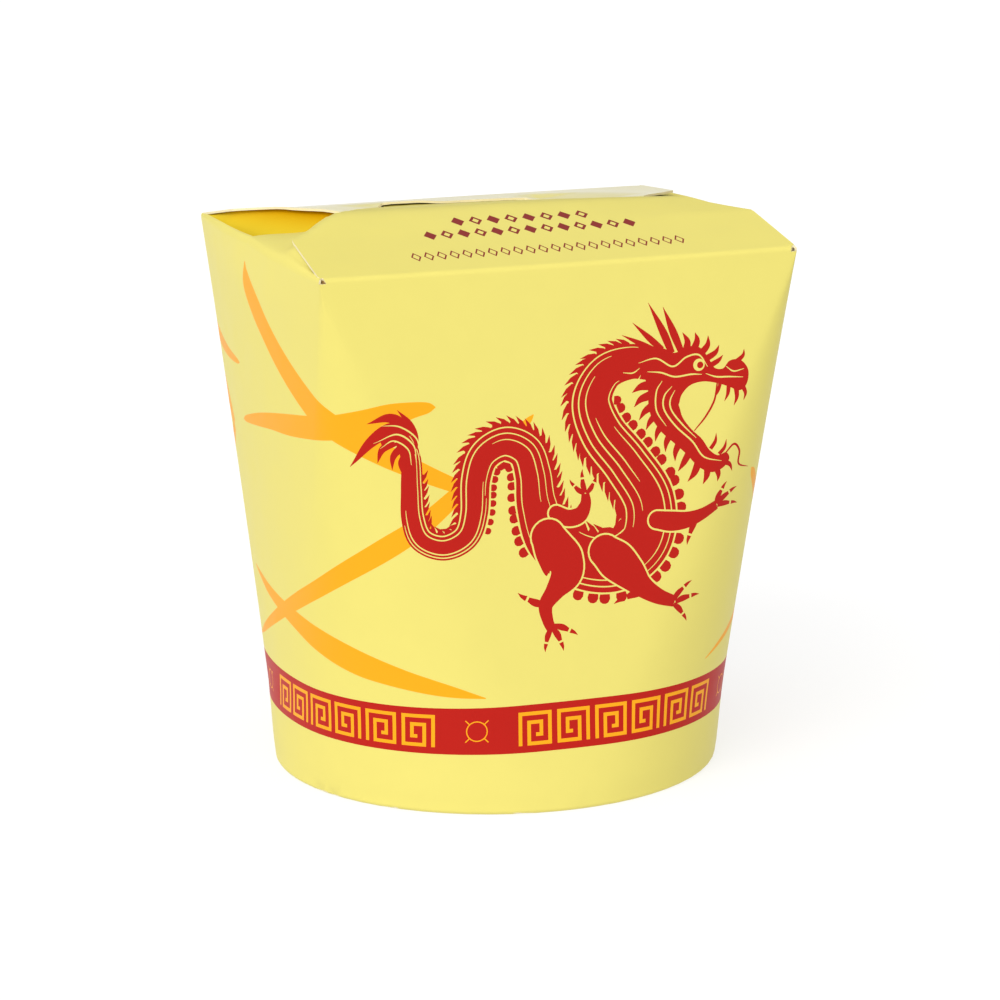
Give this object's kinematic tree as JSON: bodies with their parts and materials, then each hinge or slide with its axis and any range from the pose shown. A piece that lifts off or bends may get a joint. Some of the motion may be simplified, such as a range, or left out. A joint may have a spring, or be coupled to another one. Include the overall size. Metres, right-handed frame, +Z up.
{
  "type": "noodle takeaway box",
  "caption": "Shut takeaway box for noodles, of printed coated board, with a round base, walls that open out to a four-cornered rim and a low tented lid whose tab goes into a slot.",
  "frame": {"origin": "centre of the round base, on the surface that the box stands on", "axes": "+Z is up. -Y is the front, the face with the large printed figure, where the front lid flap is hinged. +X is to the right of someone who looks at the front."},
  "size_m": [0.1008, 0.087, 0.1125],
  "materials": {
    "printed_board": "satin coated board, yellow print",
    "plain_board": "plain white board"
  },
  "bodies": {
    "root": {"box": "printed_board", "base_disc": "plain_board"}
  },
  "joints": []
}
